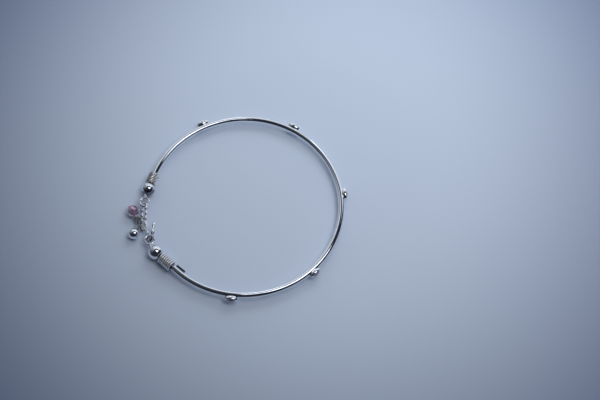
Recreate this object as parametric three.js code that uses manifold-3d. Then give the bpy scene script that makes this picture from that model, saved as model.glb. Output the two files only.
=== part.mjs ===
// A silver ankle bangle: a round wire hoop with five smooth oval collets, each holding a pale stone.
// The hoop's two ends are sleeved and wound with wire, carry a ball and a ring, and a hook clasp
// joins the rings.
// Two charms, a pink bead and a silver ball, hang from the clasp. Millimetres, +Z up.
// The hoop lies flat: its centre is on the Z axis, the clasp is on the -X side, z = 0 is the table.
import * as THREE from "three";
import { mergeVertices } from "three/addons/utils/BufferGeometryUtils.js";
import Module from "manifold-3d";

const wasm = await Module();
wasm.setup();

// ---- driving dimensions -------------------------------------------------------------------------
const HOOP_RADIUS = 37.5; // of the wire's centre-line
const WIRE_RADIUS = 1.2;
const REST_HEIGHT = 2.9; // of the wire's centre-line above the table
const GAP = 0.1; // left between pieces that touch

// The hoop's arc runs from the front end, through +X, to the back end. Each end then runs straight
// on for `straight` mm to the centre of its ball. `turn` is the way round in which the end points.
// A sleeve thickens the wire under each coil. A coil has one wire or several, and its pitch is the
// length of one turn, negative where it turns the other way.
const ENDS = {
  front: {
    arcEndDeg: -141.5,
    turn: -1,
    straight: 10.9,
    ballRadius: 2.9,
    sleeveRadius: 1.45,
    coilStart: 2.4,
    coilWire: 0.36,
    coilPitch: 0.8,
    coilStrands: 1,
    ringCentre: [-37.96, -9.42, REST_HEIGHT],
  },
  back: {
    arcEndDeg: 151.7,
    turn: 1,
    straight: 6.4,
    ballRadius: 2.6,
    sleeveRadius: 1.32,
    coilStart: 0,
    coilWire: 0.34,
    coilPitch: -16,
    coilStrands: 11,
    ringCentre: [-38.08, 6.77, REST_HEIGHT],
  },
};

const STUD_ANGLES_DEG = [106.7, 51.9, -1.5, -55, -105.6];
const STUD_FLATTENING = 0.56; // a stud is oval: its height over its length along the wire
const COLLET = { neck: 1, belly: 2.6, bellyAt: 1.85, rimRadius: 2.1, reach: 2.4, sides: 14 };
const STONE = { radius: 1.5, table: 0.8, girdleAt: 2.15, crown: 0.6, pavilion: 0.4, sides: 10 };
const SEAT_RADIUS = STONE.radius + GAP / STUD_FLATTENING;

const TAG = { angleDeg: -140.1, length: 4.2, height: 1, thickness: 1.3, standsIn: 2.2, rise: 0.2 };

const SHANK_RADIUS = 0.5; // of the pin that runs from each end ring, through the ball, into the wire
const BORE_RADIUS = SHANK_RADIUS + GAP;
const SHANK_GRIP = 2.0; // length of the pin inside the wire
const RING = { radius: 1.75, wire: 0.35 };

// The hook clasp: a hairpin eye, a leaf-shaped plate and a hook. The eye and the leaf lie in planes
// that rise towards the inside of the hoop.
const EYE = {
  apex: [-38.05, 6.15, REST_HEIGHT],
  base: [-39.45, -2.6, 2.4],
  halfWidth: 1.3,
  wire: 0.42,
  tiltDeg: 50,
};
const LEAF = { centre: [-39.45, -3.2, 2.4], along: [0.1, -0.99, 0], length: 4.7, width: 3.9, tiltDeg: 50 };
LEAF.edge = 0.16; // rounding of the leaf's rim
LEAF.core = 0.36; // thickness of the leaf between the roundings
const HOOK_WIRE = 0.48;
const HOOK_ROUTE = [
  { x: -39.25, y: -4.6, z: 2.3 },
  { x: -38.45, y: -5.8, z: 1.7 },
  { x: -38.3, y: -7.4, z: 1.5 },
  { x: -38.2, y: -9.0, z: 1.95 },
  { x: -37.7, y: -9.7, z: 2.95 },
  { x: -37.0, y: -9.4, z: 4.0 },
  { x: -36.65, y: -8.2, z: 4.35 },
  { x: -36.1, y: -6.1, z: 4.3 },
  { x: -35.45, y: -3.5, z: 4.2 },
];
const KNOB_RADIUS = 0.68; // at the hook's tip

// The charms hang from a jump ring on the eye's lower strand and lie on the table.
const CHARM_WIRE = 0.25;
const JUMP_RING = { centre: [-40.28, 0.46, 1.82], normal: [0.19, 0.92, 0.35], radius: 1.5 };
const BEAD = { centre: [-42.95, 3.85, 2.35], radius: 2.35, length: 4.2, sides: 10 };
const BEAD_LOOP = { centre: [-41.5, 1.05, 1.12], normal: [0.38, 0.49, -0.79], radius: 0.75 };
const CHARM_BALL = { centre: [-43.6, -5.6, 2.2], radius: 2.2 };
const BALL_LOOP = { centre: [-41.72, 0.6, 2.3], normal: [0.2, -0.07, 0.98], radius: 0.75 };
const BALL_STEM = [
  { x: -41.72, y: -0.15, z: 2.25 },
  { x: -41.5, y: -1.8, z: 2.1 },
  { x: -41.6, y: -3.2, z: 2.1 },
  { x: -42.3, y: -4.3, z: 2.15 },
  { x: -43.2, y: -5.15, z: 2.2 },
];

// ---- materials ----------------------------------------------------------------------------------
const metal = (color, roughness) =>
  new THREE.MeshStandardMaterial({ color, roughness, metalness: 1 });
const silver = metal(0xd9dce2, 0.12);
const wornSilver = metal(0xc4c3bd, 0.3);
const glass = (color) =>
  new THREE.MeshStandardMaterial({ color, roughness: 0.08, metalness: 0 });
const pinkStone = glass(0xc8609a);
const pinkGlass = glass(0xc0508c);

// ---- helpers ------------------------------------------------------------------------------------
const UP = new THREE.Vector3(0, 0, 1);
const vec = (list) => new THREE.Vector3(...list);
const rad = THREE.MathUtils.degToRad;

/** A closed geometry as a manifold solid that faces out. */
function toSolid(geometry) {
  const bare = geometry.clone();
  bare.deleteAttribute("normal");
  bare.deleteAttribute("uv");
  const merged = mergeVertices(bare, 1e-4);
  const triVerts = new Uint32Array(merged.index.array);
  const build = () =>
    new wasm.Manifold(
      new wasm.Mesh({ numProp: 3, vertProperties: merged.attributes.position.array, triVerts }),
    );
  const made = build();
  if (made.volume() > 0) return made;
  for (let i = 0; i < triVerts.length; i += 3)
    [triVerts[i + 1], triVerts[i + 2]] = [triVerts[i + 2], triVerts[i + 1]];
  return build();
}

/** A manifold solid as a three.js geometry. */
function toGeometry(solid) {
  const mesh = solid.getMesh();
  const positions = new Float32Array(mesh.numVert * 3);
  for (let i = 0; i < mesh.numVert; i++)
    positions.set(mesh.vertProperties.subarray(i * mesh.numProp, i * mesh.numProp + 3), i * 3);
  const geometry = new THREE.BufferGeometry();
  geometry.setAttribute("position", new THREE.BufferAttribute(positions, 3));
  geometry.setIndex(new THREE.BufferAttribute(new Uint32Array(mesh.triVerts), 1));
  geometry.computeVertexNormals();
  return geometry;
}

const join = (...solids) => solids.reduce((whole, piece) => whole.add(piece));

/** A regular polygon's outline, for the section of a wire. */
function roundSection(radius, sides) {
  const points = [];
  for (let i = 0; i < sides; i++) {
    const angle = (2 * Math.PI * (i + 0.5)) / sides;
    points.push(new THREE.Vector2(radius * Math.cos(angle), radius * Math.sin(angle)));
  }
  return new THREE.Shape(points);
}

/** A wire of round section along a curve, closed at both ends. */
function wireAlong(curve, radius, steps, sides) {
  const geometry = new THREE.ExtrudeGeometry(roundSection(radius, sides), {
    steps,
    extrudePath: curve,
    bevelEnabled: false,
  });
  return toSolid(geometry);
}

/** A straight round pin between two points. */
function pinBetween(from, to, radius, sides = 10) {
  const geometry = new THREE.CylinderGeometry(radius, radius, from.distanceTo(to), sides);
  geometry.rotateX(Math.PI / 2);
  geometry.applyMatrix4(placed(from.clone().add(to).multiplyScalar(0.5), to.clone().sub(from)));
  return toSolid(geometry);
}

/** The matrix that carries the +Z axis to a direction and the origin to a point. */
function placed(point, direction) {
  const turn = new THREE.Quaternion().setFromUnitVectors(UP, direction.clone().normalize());
  return new THREE.Matrix4().compose(point, turn, new THREE.Vector3(1, 1, 1));
}

/** A closed wire ring about a normal. */
function ringAt({ centre, normal, radius }, wire, around = 22, sides = 7) {
  const geometry = new THREE.TorusGeometry(radius, wire, sides, around);
  geometry.applyMatrix4(placed(vec(centre), vec(normal)));
  return toSolid(geometry);
}

/** A piece of the bangle: one named mesh. */
function piece(name, solid, material) {
  const mesh = new THREE.Mesh(toGeometry(solid), material);
  mesh.name = name;
  return mesh;
}

// ---- the hoop's line ----------------------------------------------------------------------------
/** The centre-line's point and outward direction at `along` mm past where an end straightens. */
function endFrame(end, along) {
  const bend = rad(end.arcEndDeg) + end.turn * Math.min(along, 0) * (1 / HOOP_RADIUS);
  const outward = new THREE.Vector3(Math.cos(bend), Math.sin(bend), 0);
  const onward = new THREE.Vector3(-outward.y, outward.x, 0).multiplyScalar(end.turn);
  const point = outward.clone().multiplyScalar(HOOP_RADIUS).setZ(REST_HEIGHT);
  point.addScaledVector(onward, Math.max(along, 0));
  return { point, outward, onward };
}

/** How far past the bend an end's wire runs: it stops just short of the ball. */
const wireEnd = (end) => end.straight - end.ballRadius - GAP;

/** The hoop's centre-line from the front end's tip to the back end's tip. */
class HoopLine extends THREE.Curve {
  getPoint(t, target = new THREE.Vector3()) {
    const { front, back } = ENDS;
    const arc = HOOP_RADIUS * rad(back.arcEndDeg - front.arcEndDeg);
    const along = t * (wireEnd(front) + arc + wireEnd(back)) - wireEnd(front);
    const fromFront = along < arc / 2;
    const { point } = fromFront ? endFrame(front, -along) : endFrame(back, along - arc);
    return target.copy(point);
  }
}

/** How far past the bend an end's coil stops, just short of the ball. */
function coilStop(end) {
  const clear = end.ballRadius + end.coilWire + GAP;
  return end.straight - Math.sqrt(clear ** 2 - woundRadius(end) ** 2);
}

/** The radius at which an end's coil is wound, to the middle of its wire. */
const woundRadius = (end) => end.sleeveRadius + GAP + end.coilWire;

/** One wire of an end's coil, from coilStart to the ball, starting at an angle about the hoop's wire. */
class CoilLine extends THREE.Curve {
  constructor(end, first) {
    super();
    this.end = end;
    this.first = first;
    this.arcLengthDivisions = 600;
    this.turns = (coilStop(end) - end.coilStart) / end.coilPitch;
  }
  getPoint(t, target = new THREE.Vector3()) {
    const { end, first, turns } = this;
    const { point, outward } = endFrame(end, THREE.MathUtils.lerp(end.coilStart, coilStop(end), t));
    const angle = first + 2 * Math.PI * turns * t;
    target.copy(point).addScaledVector(outward, woundRadius(end) * Math.cos(angle));
    return target.addScaledVector(UP, woundRadius(end) * Math.sin(angle));
  }
}

// ---- collets and stones -------------------------------------------------------------------------
/** The frame of a stud: +Z away from the hoop's centre, +X along the wire, +Y up and flattened. */
function studMatrix(angleDeg) {
  const outward = new THREE.Vector3(Math.cos(rad(angleDeg)), Math.sin(rad(angleDeg)), 0);
  const along = new THREE.Vector3().crossVectors(UP, outward);
  const matrix = new THREE.Matrix4().makeBasis(along, UP, outward);
  matrix.scale(new THREE.Vector3(1, STUD_FLATTENING, 1));
  return matrix.setPosition(outward.multiplyScalar(HOOP_RADIUS).setZ(REST_HEIGHT));
}

/** A smooth oval cup on the wire, widest near its rim. */
function collet(angleDeg) {
  const { neck, belly, bellyAt, rimRadius, reach, sides } = COLLET;
  const profile = [
    [0, 0.6],
    [neck, 0.6],
    [belly * 0.77, bellyAt - 0.85],
    [belly * 0.94, bellyAt - 0.4],
    [belly, bellyAt],
    [belly * 0.95, bellyAt + 0.35],
    [rimRadius, reach],
    [SEAT_RADIUS, reach],
    [SEAT_RADIUS, 1.9],
    [1.1, 1.6],
    [0, 1.6],
  ];
  const cup = new THREE.LatheGeometry(profile.map(([r, z]) => new THREE.Vector2(r, z)), sides);
  cup.rotateX(Math.PI / 2);
  cup.applyMatrix4(studMatrix(angleDeg));
  return toSolid(cup);
}

/** A faceted oval stone: table, crown, girdle and pavilion. */
function stone(angleDeg) {
  const { radius, table, girdleAt, crown, pavilion, sides } = STONE;
  const profile = [
    [0, girdleAt - pavilion],
    [radius * 0.5, girdleAt - pavilion],
    [radius, girdleAt - 0.08],
    [radius, girdleAt + 0.08],
    [radius * 0.85, girdleAt + crown * 0.6],
    [table, girdleAt + crown],
    [0, girdleAt + crown],
  ];
  const cut = new THREE.LatheGeometry(profile.map(([r, z]) => new THREE.Vector2(r, z)), sides);
  cut.rotateX(Math.PI / 2);
  cut.applyMatrix4(studMatrix(angleDeg));
  return toSolid(cut);
}

/** The small oblong plate soldered to the inside of the wire near its front end, left bare. */
function tag() {
  const { angleDeg, length, height, thickness, standsIn, rise } = TAG;
  const plate = new THREE.Shape();
  const r = height / 2;
  plate.absarc(length / 2 - r, 0, r, -Math.PI / 2, Math.PI / 2);
  plate.absarc(r - length / 2, 0, r, Math.PI / 2, (3 * Math.PI) / 2);
  const geometry = new THREE.ExtrudeGeometry(plate, {
    depth: thickness,
    bevelEnabled: false,
    curveSegments: 6,
  });
  const inward = new THREE.Vector3(-Math.cos(rad(angleDeg)), -Math.sin(rad(angleDeg)), 0);
  const tangent = new THREE.Vector3().crossVectors(UP, inward);
  const turn = new THREE.Matrix4().makeBasis(tangent, UP, inward.clone().negate());
  turn.setPosition(inward.clone().multiplyScalar(-(HOOP_RADIUS - standsIn)).setZ(REST_HEIGHT + rise));
  geometry.applyMatrix4(turn);
  return toSolid(geometry);
}

// ---- the hoop -----------------------------------------------------------------------------------
/** The hoop's line under an end's coil, as a curve. */
class SleeveLine extends THREE.Curve {
  constructor(end) {
    super();
    this.end = end;
  }
  getPoint(t, target = new THREE.Vector3()) {
    const { end } = this;
    const from = end.coilStart - end.coilWire;
    return target.copy(endFrame(end, from + t * (wireEnd(end) - from)).point);
  }
}

/** The wire with its sleeves, collets and tag, drilled at both ends for the rings' pins. */
function hoop() {
  const wire = wireAlong(new HoopLine(), WIRE_RADIUS, 72, 12);
  let solid = join(wire, ...STUD_ANGLES_DEG.map(collet), tag());
  for (const end of Object.values(ENDS)) {
    solid = solid.add(wireAlong(new SleeveLine(end), end.sleeveRadius, 4, 12));
    const mouth = endFrame(end, wireEnd(end) + 1).point;
    const bottom = endFrame(end, wireEnd(end) - SHANK_GRIP - GAP).point;
    solid = solid.subtract(pinBetween(bottom, mouth, BORE_RADIUS));
  }
  return solid;
}

// ---- balls, coils and rings at the ends ---------------------------------------------------------
/** An end's coil. Where it has several wires, a ring binds them at its start. */
function coil(end) {
  const wires = [];
  for (let i = 0; i < end.coilStrands; i++) {
    const line = new CoilLine(end, (2 * Math.PI * i) / end.coilStrands);
    const steps = Math.max(4, Math.round(line.turns * 11));
    wires.push(wireAlong(line, end.coilWire, steps, 5));
  }
  if (end.coilStrands > 1) {
    const { point, onward } = endFrame(end, end.coilStart);
    const binding = { centre: point.toArray(), normal: onward.toArray(), radius: woundRadius(end) };
    wires.push(ringAt(binding, end.coilWire, 18, 6));
  }
  return join(...wires);
}

/** A ball drilled through along an axis. */
function drilledBall(centre, axis, radius, around = 18) {
  const lift = Math.asin(BORE_RADIUS / radius);
  const rings = 11;
  const profile = [];
  for (let i = 0; i <= rings; i++) {
    const angle = lift + ((Math.PI - 2 * lift) * i) / rings;
    profile.push(new THREE.Vector2(radius * Math.sin(angle), -radius * Math.cos(angle)));
  }
  profile.push(profile[0].clone());
  const geometry = new THREE.LatheGeometry(profile, around);
  geometry.rotateX(Math.PI / 2);
  geometry.applyMatrix4(placed(centre, axis));
  return toSolid(geometry);
}

/** The ring at an end with its pin, which runs through the ball and bends just outside it. */
function endRing(end) {
  const centre = vec(end.ringCentre);
  const foot = endFrame(end, wireEnd(end) - SHANK_GRIP).point;
  const bend = endFrame(end, end.straight + end.ballRadius + GAP).point;
  const rim = bend.clone().sub(centre).setLength(RING.radius).add(centre);
  const elbow = new THREE.SphereGeometry(SHANK_RADIUS, 10, 7);
  elbow.translate(...bend.toArray());
  return join(
    ringAt({ centre: end.ringCentre, normal: [0, 0, 1], radius: RING.radius }, RING.wire),
    pinBetween(foot, bend, SHANK_RADIUS),
    toSolid(elbow),
    pinBetween(bend, rim, SHANK_RADIUS),
  );
}

// ---- the hook clasp -----------------------------------------------------------------------------
/** Two straight legs joined by a half circle, in a plane. */
class Hairpin extends THREE.Curve {
  constructor(apex, base, halfWidth, tiltDeg) {
    super();
    this.axis = base.clone().sub(apex).normalize();
    const level = new THREE.Vector3().crossVectors(UP, this.axis).normalize();
    const lift = new THREE.Vector3().crossVectors(this.axis, level);
    this.across = level.multiplyScalar(Math.cos(rad(tiltDeg)));
    this.across.addScaledVector(lift, Math.sin(rad(tiltDeg)));
    this.leg = base.distanceTo(apex) - halfWidth;
    this.halfWidth = halfWidth;
    this.centre = apex.clone().addScaledVector(this.axis, halfWidth);
  }
  getPoint(t, target = new THREE.Vector3()) {
    const { leg, halfWidth } = this;
    const bend = Math.PI * halfWidth;
    const s = t * (2 * leg + bend);
    const angle = THREE.MathUtils.clamp((s - leg) / halfWidth, 0, Math.PI);
    const onLeg = Math.max(leg - s, s - leg - bend, 0);
    target.copy(this.centre);
    target.addScaledVector(this.axis, onLeg - halfWidth * Math.sin(angle));
    return target.addScaledVector(this.across, -halfWidth * Math.cos(angle));
  }
}

/** The leaf-shaped plate in the middle of the clasp. */
function leaf() {
  const { centre, along, length, width, tiltDeg, edge, core } = LEAF;
  const outline = new THREE.Shape();
  outline.absellipse(0, 0, length / 2 - edge, width / 2 - edge, 0, 2 * Math.PI);
  const geometry = new THREE.ExtrudeGeometry(outline, {
    depth: core,
    curveSegments: 12,
    bevelThickness: edge,
    bevelSize: edge,
    bevelSegments: 2,
  });
  geometry.translate(0, 0, -core / 2);
  const lengthways = vec(along).normalize();
  const level = new THREE.Vector3().crossVectors(UP, lengthways).normalize();
  const across = level.clone().multiplyScalar(Math.cos(rad(tiltDeg)));
  across.addScaledVector(UP, Math.sin(rad(tiltDeg)));
  const face = new THREE.Vector3().crossVectors(lengthways, across);
  geometry.applyMatrix4(new THREE.Matrix4().makeBasis(lengthways, across, face).setPosition(...centre));
  return toSolid(geometry);
}

/** The clasp: the eye on the back ring, the leaf, and the hook through the front ring. */
function hookClasp() {
  const eye = new Hairpin(vec(EYE.apex), vec(EYE.base), EYE.halfWidth, EYE.tiltDeg);
  const route = HOOK_ROUTE.map(({ x, y, z }) => new THREE.Vector3(x, y, z));
  const hook = new THREE.CatmullRomCurve3(route, false, "centripetal");
  const knob = new THREE.SphereGeometry(KNOB_RADIUS, 10, 7);
  knob.translate(...route.at(-1).toArray());
  return join(
    wireAlong(eye, EYE.wire, 26, 8),
    leaf(),
    wireAlong(hook, HOOK_WIRE, 24, 8),
    toSolid(knob),
  );
}

// ---- the charms ---------------------------------------------------------------------------------
/** The line of the bead's hole, from its loop outwards. */
const beadAxis = vec(BEAD.centre).sub(vec(BEAD_LOOP.centre)).normalize();
const BEAD_BORE = 0.4;
const PIN_RADIUS = BEAD_BORE - GAP;

/** The faceted glass bead, drilled through. */
function charmBead() {
  const { centre, radius, length, sides } = BEAD;
  const half = length / 2;
  const profile = [
    [BEAD_BORE, -half],
    [radius * 0.5, -half],
    [radius * 0.88, -half * 0.55],
    [radius, 0],
    [radius * 0.88, half * 0.55],
    [radius * 0.5, half],
    [BEAD_BORE, half],
    [BEAD_BORE, -half],
  ];
  const geometry = new THREE.LatheGeometry(profile.map(([r, z]) => new THREE.Vector2(r, z)), sides);
  geometry.rotateX(Math.PI / 2);
  geometry.applyMatrix4(placed(vec(centre), beadAxis));
  return toSolid(geometry);
}

/** The headed pin through the bead, with the loop that hangs it. */
function beadPin() {
  const centre = vec(BEAD.centre);
  const headAt = centre.clone().addScaledVector(beadAxis, BEAD.length / 2 + GAP);
  const headTop = headAt.clone().addScaledVector(beadAxis, 0.3);
  const start = vec(BEAD_LOOP.centre).addScaledVector(beadAxis, BEAD_LOOP.radius);
  return join(
    ringAt(BEAD_LOOP, CHARM_WIRE, 16, 6),
    pinBetween(start, headTop, PIN_RADIUS, 8),
    pinBetween(headAt, headTop, 0.7),
  );
}

/** The silver ball with the bent stem and the loop that hang it. */
function charmBall() {
  const ball = new THREE.SphereGeometry(CHARM_BALL.radius, 18, 12);
  ball.translate(...CHARM_BALL.centre);
  const route = BALL_STEM.map(({ x, y, z }) => new THREE.Vector3(x, y, z));
  const stem = new THREE.CatmullRomCurve3(route, false, "centripetal");
  return join(
    toSolid(ball),
    ringAt(BALL_LOOP, CHARM_WIRE, 16, 6),
    wireAlong(stem, CHARM_WIRE, 10, 6),
  );
}

// ---- the assembly -------------------------------------------------------------------------------
const bangle = new THREE.Group();
bangle.name = "ankle_bangle";
bangle.add(piece("hoop", hoop(), silver));
STUD_ANGLES_DEG.forEach((angleDeg, i) =>
  bangle.add(piece("stud_stone_" + (i + 1), stone(angleDeg), pinkStone)),
);
for (const [side, end] of Object.entries(ENDS)) {
  const { point, onward } = endFrame(end, end.straight);
  bangle.add(piece("end_coil_" + side, coil(end), wornSilver));
  bangle.add(piece("end_ball_" + side, drilledBall(point, onward, end.ballRadius), silver));
  bangle.add(piece("end_ring_" + side, endRing(end), silver));
}
bangle.add(piece("hook_clasp", hookClasp(), silver));
bangle.add(piece("charm_jump_ring", ringAt(JUMP_RING, CHARM_WIRE), wornSilver));
bangle.add(piece("charm_bead", charmBead(), pinkGlass));
bangle.add(piece("charm_bead_pin", beadPin(), wornSilver));
bangle.add(piece("charm_ball", charmBall(), silver));

export default bangle;
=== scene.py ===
"""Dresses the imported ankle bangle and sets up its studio.

Lengths are in millimetres until an object is made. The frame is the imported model's own: the hoop's
axis is +Z, the clasp is on the -X side and the table is z = 0.
"""

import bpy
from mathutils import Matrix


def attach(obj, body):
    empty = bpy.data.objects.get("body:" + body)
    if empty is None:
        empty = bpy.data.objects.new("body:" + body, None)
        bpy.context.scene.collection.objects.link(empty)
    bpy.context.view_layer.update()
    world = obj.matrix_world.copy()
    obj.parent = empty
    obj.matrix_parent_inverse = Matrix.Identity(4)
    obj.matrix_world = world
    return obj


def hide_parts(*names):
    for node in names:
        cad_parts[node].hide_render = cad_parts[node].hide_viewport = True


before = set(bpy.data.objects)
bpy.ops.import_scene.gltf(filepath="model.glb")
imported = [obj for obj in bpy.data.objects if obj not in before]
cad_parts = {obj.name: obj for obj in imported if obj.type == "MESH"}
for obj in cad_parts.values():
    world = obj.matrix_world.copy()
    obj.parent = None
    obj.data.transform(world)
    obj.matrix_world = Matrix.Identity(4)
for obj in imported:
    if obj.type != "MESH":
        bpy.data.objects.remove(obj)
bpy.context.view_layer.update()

import logging
import math
from dataclasses import dataclass, field, replace
from enum import Enum
from typing import Any, Callable, Optional, Sequence, Union

import bpy
from mathutils import Matrix, Vector

LOG = logging.getLogger("ankle_bangle")
MM = 0.001
UP = Vector((0.0, 0.0, 1.0))
BODY = "root"
GAP = 0.1  # left between pieces that touch
HOOP_RADIUS = 37.5  # of the hoop's centre-line
REST_HEIGHT = 2.9  # of the hoop's centre-line above the table

Color = tuple[float, float, float]
Point = tuple[float, float, float]
Ring = tuple[float, float]  # the radius and the height of one ring of a turned or a cut form


# ---- forms --------------------------------------------------------------------------------------
@dataclass
class Form:
    """A surface under construction: points in millimetres, and faces that name them."""

    points: list[Vector] = field(default_factory=list)
    faces: list[tuple[int, ...]] = field(default_factory=list)

    def add(self, other: "Form") -> "Form":
        """Takes in another form.

        Args:
            other: the form whose points and faces are added.

        Returns:
            This form.
        """
        start = len(self.points)
        self.points.extend(other.points)
        self.faces.extend(tuple(start + i for i in face) for face in other.faces)
        return self

    def moved(self, matrix: Matrix) -> "Form":
        """Carries every point by a matrix.

        Args:
            matrix: the 4 by 4 matrix.

        Returns:
            This form.
        """
        self.points = [matrix @ point for point in self.points]
        return self


class Shading(Enum):
    """How a piece's faces meet the light."""

    SMOOTH = "smooth"
    FLAT = "flat"


def rows_to_form(rows: Sequence[Sequence[Vector]], wrap: bool, caps: bool) -> Form:
    """Joins equal rings of points into a surface.

    Args:
        rows: the rings, each with the same number of points.
        wrap: whether the last ring joins the first one.
        caps: whether the first and last rings are closed with a flat face.

    Returns:
        The surface.
    """
    size = len(rows[0])
    form = Form(points=[point for row in rows for point in row])
    for i in range(len(rows) if wrap else len(rows) - 1):
        here, there = i * size, (i + 1) % len(rows) * size
        for j in range(size):
            k = (j + 1) % size
            form.faces.append((here + j, here + k, there + k, there + j))
    if caps:
        form.faces.append(tuple(reversed(range(size))))
        last = (len(rows) - 1) * size
        form.faces.append(tuple(range(last, last + size)))
    return form


def tube(
    line: Sequence[Vector],
    radius: Union[float, Callable[[float], float]],
    sides: int,
    closed: bool = False,
    dome: int = 5,
) -> Form:
    """A round wire along a line, with rounded ends.

    Args:
        line: the points of its centre-line.
        radius: its radius, or the radius as a function of the share of the line, from 0 to 1.
        sides: the number of points round it.
        closed: whether the line is a loop.
        dome: the number of rings in each rounded end.

    Returns:
        The wire's surface.
    """
    upright = 0.9  # a line steeper than this takes its first side from +X
    tip = 0.25  # of a step of the dome, left flat at its top
    count = len(line)
    width = radius if callable(radius) else lambda share: radius
    tangents = []
    for i in range(count):
        before = line[i - 1] if closed or i else line[0]
        after = line[(i + 1) % count] if closed or i < count - 1 else line[-1]
        tangents.append((after - before).normalized())
    seed = UP if abs(tangents[0].dot(UP)) < upright else Vector((1.0, 0.0, 0.0))
    normal = (seed - tangents[0] * seed.dot(tangents[0])).normalized()
    centres, axes, radii = [], [], []
    for i in range(count):
        if i:
            normal = tangents[i - 1].rotation_difference(tangents[i]) @ normal
        normal = (normal - tangents[i] * normal.dot(tangents[i])).normalized()
        centres.append(line[i].copy())
        axes.append((normal.copy(), tangents[i].cross(normal)))
        radii.append(width(i / (count - 1)))
    if not closed:
        for end, sign in ((0, -1), (-1, 1)):
            centre, axis, full = centres[end], axes[end], radii[end]
            onward = tangents[end] * sign
            for step in range(1, dome + 1):
                angle = 0.5 * math.pi * step / (dome + tip)
                at = 0 if end == 0 else len(centres)
                centres.insert(at, centre + onward * full * math.sin(angle))
                axes.insert(at, axis)
                radii.insert(at, full * math.cos(angle))
    rows = []
    for centre, (across, lift), full in zip(centres, axes, radii):
        angles = (2 * math.pi * j / sides for j in range(sides))
        rows.append([centre + (across * math.cos(a) + lift * math.sin(a)) * full for a in angles])
    return rows_to_form(rows, wrap=closed, caps=not closed)


def lathe(profile: Sequence[Ring], segments: int, closed: bool = False) -> Form:
    """Turns a profile about the Z axis.

    Args:
        profile: its rings, from the bottom up on the outside.
        segments: the number of steps round.
        closed: whether the profile is a loop, as round a bore.

    Returns:
        The turned surface.
    """
    rows = []
    for radius, height in profile:
        angles = (2 * math.pi * j / segments for j in range(segments))
        rows.append([Vector((radius * math.cos(a), radius * math.sin(a), height)) for a in angles])
    return rows_to_form(rows, wrap=closed, caps=not closed)


def faceted(profile: Sequence[Ring], sides: int, bored: bool = False) -> Form:
    """A cut stone's surface: each ring of corners is half a step on from the one below.

    Args:
        profile: the rings of corners, from the bottom up.
        sides: the number of corners in a ring.
        bored: whether the last ring joins the first, as round a bore.

    Returns:
        The surface, in triangles between the rings.
    """
    form = Form()
    for i, (radius, height) in enumerate(profile):
        for j in range(sides):
            angle = 2 * math.pi * (j + 0.5 * (i % 2)) / sides
            form.points.append(Vector((radius * math.cos(angle), radius * math.sin(angle), height)))
    rings = len(profile)
    for i in range(rings if bored else rings - 1):
        low, high = i * sides, (i + 1) % rings * sides
        for j in range(sides):
            k = (j + 1) % sides
            if i % 2:
                form.faces.append((low + j, low + k, high + k))
                form.faces.append((low + j, high + k, high + j))
            else:
                form.faces.append((low + j, low + k, high + j))
                form.faces.append((low + k, high + k, high + j))
    if not bored:
        form.faces.append(tuple(reversed(range(sides))))
        form.faces.append(tuple(range((rings - 1) * sides, rings * sides)))
    return form


def circle(centre: Vector, normal: Vector, radius: float, steps: int) -> list[Vector]:
    """The points of a circle.

    Args:
        centre: its centre.
        normal: the direction of its axis.
        radius: its radius.
        steps: the number of points.

    Returns:
        The points, in order round it.
    """
    matrix = placed(centre, normal)
    angles = (2 * math.pi * i / steps for i in range(steps))
    return [matrix @ Vector((radius * math.cos(a), radius * math.sin(a), 0.0)) for a in angles]


def placed(point: Vector, direction: Vector) -> Matrix:
    """The matrix that carries +Z to a direction and the origin to a point."""
    turn = UP.rotation_difference(direction.normalized())
    return Matrix.Translation(point) @ turn.to_matrix().to_4x4()


def basis(x: Vector, y: Vector, z: Vector, origin: Vector) -> Matrix:
    """The matrix whose columns are three axes and an origin."""
    return Matrix.Translation(origin) @ Matrix((x, y, z)).transposed().to_4x4()


def smooth_line(points: Sequence[Point], steps: int) -> list[Vector]:
    """A rounded line through points, of the centripetal kind.

    Args:
        points: the points that it passes through.
        steps: the number of steps between two of them.

    Returns:
        The line's points.
    """
    knots = [Vector(point) for point in points]
    knots = [knots[0] * 2 - knots[1], *knots, knots[-1] * 2 - knots[-2]]
    line = []
    for i in range(1, len(knots) - 2):
        p0, p1, p2, p3 = knots[i - 1 : i + 3]
        t1 = (p1 - p0).length ** 0.5
        t2 = t1 + (p2 - p1).length ** 0.5
        t3 = t2 + (p3 - p2).length ** 0.5
        for step in range(steps):
            t = t1 + (t2 - t1) * step / steps
            a1 = p0 * ((t1 - t) / t1) + p1 * (t / t1)
            a2 = p1 * ((t2 - t) / (t2 - t1)) + p2 * ((t - t1) / (t2 - t1))
            a3 = p2 * ((t3 - t) / (t3 - t2)) + p3 * ((t - t2) / (t3 - t2))
            b1 = a1 * ((t2 - t) / t2) + a2 * (t / t2)
            b2 = a2 * ((t3 - t) / (t3 - t1)) + a3 * ((t - t1) / (t3 - t1))
            line.append(b1 * ((t2 - t) / (t2 - t1)) + b2 * ((t - t1) / (t2 - t1)))
    line.append(knots[-2])
    return line


# ---- shader nodes -------------------------------------------------------------------------------
Value = Union["Socket", float]
MIX_SHARE, MIX_FIRST, MIX_SECOND, MIX_RESULT = 0, 6, 7, 2  # a Mix node's sockets for colours


class Texture(Enum):
    """How a noise is broken up: how many finer layers it has, and how strong those are."""

    SOFT = (1.0, 0.4)
    CLOUDY = (2.0, 0.6)
    PATCHY = (3.0, 0.6)
    GRAINY = (3.0, 0.7)
    MOTTLED = (4.0, 0.65)


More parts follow.
